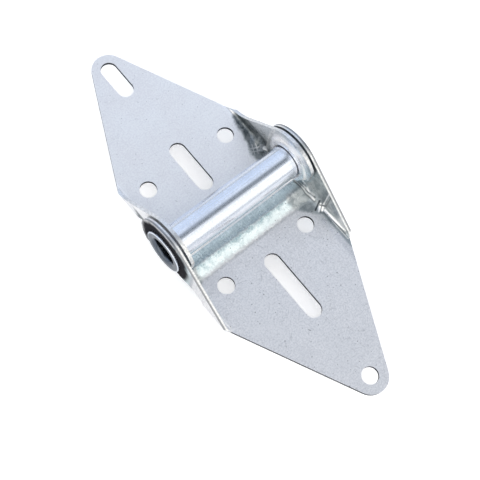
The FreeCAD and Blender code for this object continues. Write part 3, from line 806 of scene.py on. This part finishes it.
def sleeve_tree():
    """Turns the sleeve's section, with its flared mouths and rounded lips, about the X axis."""
    tree = bpy.data.node_groups.new("turned_sleeve", "GeometryNodeTree")
    tree.interface.new_socket("Geometry", in_out="OUTPUT", socket_type="NodeSocketGeometry")
    sizes = {
        "Half Length": SLEEVE_END.x, "Bore": SLEEVE_BORE, "Outside": SLEEVE_RADIUS,
        "Flare": SLEEVE_FLARE, "Lip": SLEEVE_LIP, "Mouth Round": SLEEVE_MOUTH,
        "Lip Round": SLEEVE_LIP_ROUND, "Crease": SLEEVE_CREASE,
    }
    identifiers = {name: value_socket(tree, name, value) for name, value in sizes.items()}
    source = tree.nodes.new("NodeGroupInput").outputs
    result = tree.nodes.new("NodeGroupOutput")
    section = sleeve_section(tree, source)
    path = feed(tree, new_node(tree, "GeometryNodeCurvePrimitiveCircle", mode="RADIUS"),
                Resolution=SLEEVE_TURN_STEPS, Radius=source["Bore"])
    turned = feed(tree, new_node(tree, "GeometryNodeCurveToMesh"), Curve=path.outputs["Curve"],
                  Profile_Curve=section)
    laid = feed(tree, new_node(tree, "GeometryNodeTransform"), Geometry=turned.outputs[0],
                Rotation=(0, QUARTER_TURN, 0))
    real = feed(tree, new_node(tree, "GeometryNodeRealizeInstances"), Geometry=laid.outputs[0])
    finish = feed(tree, new_node(tree, "GeometryNodeSetMaterial"), Geometry=real.outputs[0],
                  Material=SLEEVE_ZINC)
    link(tree, finish.outputs[0], result.inputs[0])
    return tree, identifiers, sizes


def make_sleeve():
    tree, identifiers, sizes = sleeve_tree()
    sleeve = add_object("roller_sleeve", bpy.data.meshes.new("roller_sleeve"))
    modifier = sleeve.modifiers.new("turned_sleeve", "NODES")
    modifier.node_group = tree
    for name, value in sizes.items():
        modifier[identifiers[name]] = value
    bake_modifiers(sleeve)
    shape = bmesh.new()
    shape.from_mesh(sleeve.data)
    bmesh.ops.remove_doubles(shape, verts=shape.verts, dist=SAME_POINT)
    bmesh.ops.recalc_face_normals(shape, faces=shape.faces)
    for face in shape.faces:
        face.smooth = True
    shape.to_mesh(sleeve.data)
    shape.free()
    return sleeve


lower_sheet = finished_leaf("lower_leaf", "lower_leaf_sheet", LOWER_SKIN)
upper_sheet = finished_leaf("upper_leaf", "upper_leaf_sheet", UPPER_SKIN)
sleeve = make_sleeve()
for piece, body, node in ((lower_sheet, "lower", "lower_leaf"), (upper_sheet, "upper", "upper_leaf"),
                          (sleeve, "lower", "roller_tube")):
    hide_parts(node)
    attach(piece, body)


# Studio: pale floor, soft light and the camera

CAMERA_PLACE = Vector((-0.12155, -0.08251, 0.35188))
CAMERA_TARGET = Vector((-0.00786, -0.01437, 0.0))
CAMERA_ROLL = math.radians(20.276)
CAMERA_LENS = 72.75
SENSOR = 36.0
CAMERA_NEAR = 0.01

# Low enough for the upper leaf to reach its back stop above the floor
FLOOR_DROP = 9.4 * MM
FLOOR_HALF = 4.0
FLOOR_WHITE = (0.93, 0.93, 0.93, 1)
FLOOR_ROUGH = 0.9
FLOOR_SHINE = 0.1
FLOOR_GLOW = 0.34

FILL_PLACE = Vector((0.0, 0.0, 1.6))
FILL_TARGET = Vector((0.0, 0.0, 0.0))
FILL_SIDE = 1.6
FILL_WARMTH = (1, 0.97, 0.93)
FILL_POWER = 7.0

# The room's light by direction, in linear radiance
ROOM_BLUE = (0.80, 0.86, 0.96, 1)
BACK_BLUE = (0.66, 0.74, 0.88, 1)
FRONT_WHITE = (1.2, 1.18, 1.13, 1)
STRIP_GREY = (0.16, 0.18, 0.2, 1)
SKIRTING_GREY = (0.42, 0.44, 0.47, 1)
BACKDROP = (0.95, 0.96, 0.97, 1)
ROOM_STRENGTH = 1.17
BACK_SIDE = (0.25, 0.6)
FRONT_SIDE = (-0.24, -0.5)
LEFT_SIDE = (-0.5, -0.7)
SKIRTING = (0.1, 0.2)
STRIP_END = (-0.6, -0.45)
STRIP_SLANT = Vector((0.5, 0.85))
STRIP_MIDDLE = 0.04
STRIP_CORE = 0.06
STRIP_EDGE = 0.24
STRIP_FADE = 0.6


def aimed(place, target):
    """Matrix of a camera or light that stands at a place and points at a target."""
    turn = (target - place).to_track_quat("-Z", "Y").to_matrix().to_4x4()
    return Matrix.Translation(place) @ turn


def make_camera():
    data = bpy.data.cameras.new("photo_camera")
    data.lens = CAMERA_LENS
    data.sensor_width = SENSOR
    data.sensor_fit = "HORIZONTAL"
    data.clip_start = CAMERA_NEAR
    camera = add_object("photo_camera", data)
    camera.matrix_world = aimed(CAMERA_PLACE, CAMERA_TARGET) @ Matrix.Rotation(CAMERA_ROLL, 4, "Z")
    bpy.context.scene.camera = camera


def make_fill_light():
    """Soft square light overhead, for the floor. Neither the camera nor a reflection sees it."""
    data = bpy.data.lights.new("floor_fill", "AREA")
    data.shape = "RECTANGLE"
    data.size = FILL_SIDE
    data.size_y = FILL_SIDE
    data.energy = FILL_POWER
    data.color = FILL_WARMTH
    panel = add_object("floor_fill", data)
    panel.matrix_world = aimed(FILL_PLACE, FILL_TARGET)
    panel.visible_camera = False
    panel.visible_glossy = False


def make_floor():
    """Plain floor. It glows for the camera alone, so that it shows white through the holes."""
    data = bpy.data.meshes.new("studio_floor")
    level = PLATE_BACK - FLOOR_DROP
    corners = [(x * FLOOR_HALF, y * FLOOR_HALF, level) for x, y in ((-1, -1), (1, -1), (1, 1), (-1, 1))]
    data.from_pydata(corners, [], [(0, 1, 2, 3)])
    floor = add_object("studio_floor", data)
    material, tree, shader, _ = new_material("pale_floor")
    shader.inputs["Base Color"].default_value = FLOOR_WHITE
    shader.inputs["Roughness"].default_value = FLOOR_ROUGH
    shader.inputs["Specular IOR Level"].default_value = FLOOR_SHINE
    seen = new_node(tree, "ShaderNodeLightPath").outputs["Is Camera Ray"]
    link(tree, times(tree, seen, FLOOR_GLOW), shader.inputs["Emission Strength"])
    shader.inputs["Emission Color"].default_value = (1, 1, 1, 1)
    data.materials.append(material)


def make_world():
    """Pale room: bluish overhead and behind, bright white in front and at the left, a soft dark strip
    near the camera and grey low down. The camera itself sees a plain backdrop.
    """
    world = bpy.data.worlds.new("studio")
    world.use_nodes = True
    tree = world.node_tree
    x, y, z = split_axes(tree, new_node(tree, "ShaderNodeTexCoord").outputs["Generated"])
    slant = plus(tree, times(tree, x, STRIP_SLANT.x), times(tree, y, STRIP_SLANT.y))
    behind = minus(tree, slant, STRIP_MIDDLE)
    away = larger(tree, times(tree, behind, STRIP_FADE), times(tree, behind, -1.0))
    strip = times(tree, ramp(tree, away, STRIP_CORE, STRIP_EDGE, 1.0, 0.0), ramp(tree, x, *STRIP_END))
    front = larger(tree, ramp(tree, y, *FRONT_SIDE), ramp(tree, x, *LEFT_SIDE))
    blue = mix_colour(tree, ramp(tree, y, *BACK_SIDE), ROOM_BLUE, BACK_BLUE)
    room = mix_colour(tree, front, blue, FRONT_WHITE)
    room = mix_colour(tree, strip, room, STRIP_GREY)
    room = mix_colour(tree, ramp(tree, z, *SKIRTING, 1.0, 0.0), room, SKIRTING_GREY)
    light = feed(tree, tree.nodes["Background"], Color=room, Strength=ROOM_STRENGTH)
    backdrop = feed(tree, tree.nodes.new("ShaderNodeBackground"), Color=BACKDROP)
    choose = tree.nodes.new("ShaderNodeMixShader")
    link(tree, new_node(tree, "ShaderNodeLightPath").outputs["Is Camera Ray"], choose.inputs[0])
    link(tree, light.outputs[0], choose.inputs[1])
    link(tree, backdrop.outputs[0], choose.inputs[2])
    link(tree, choose.outputs[0], tree.nodes["World Output"].inputs["Surface"])
    bpy.context.scene.world = world


make_world()
make_floor()
make_fill_light()
make_camera()
bpy.context.scene.view_settings.view_transform = "Standard"
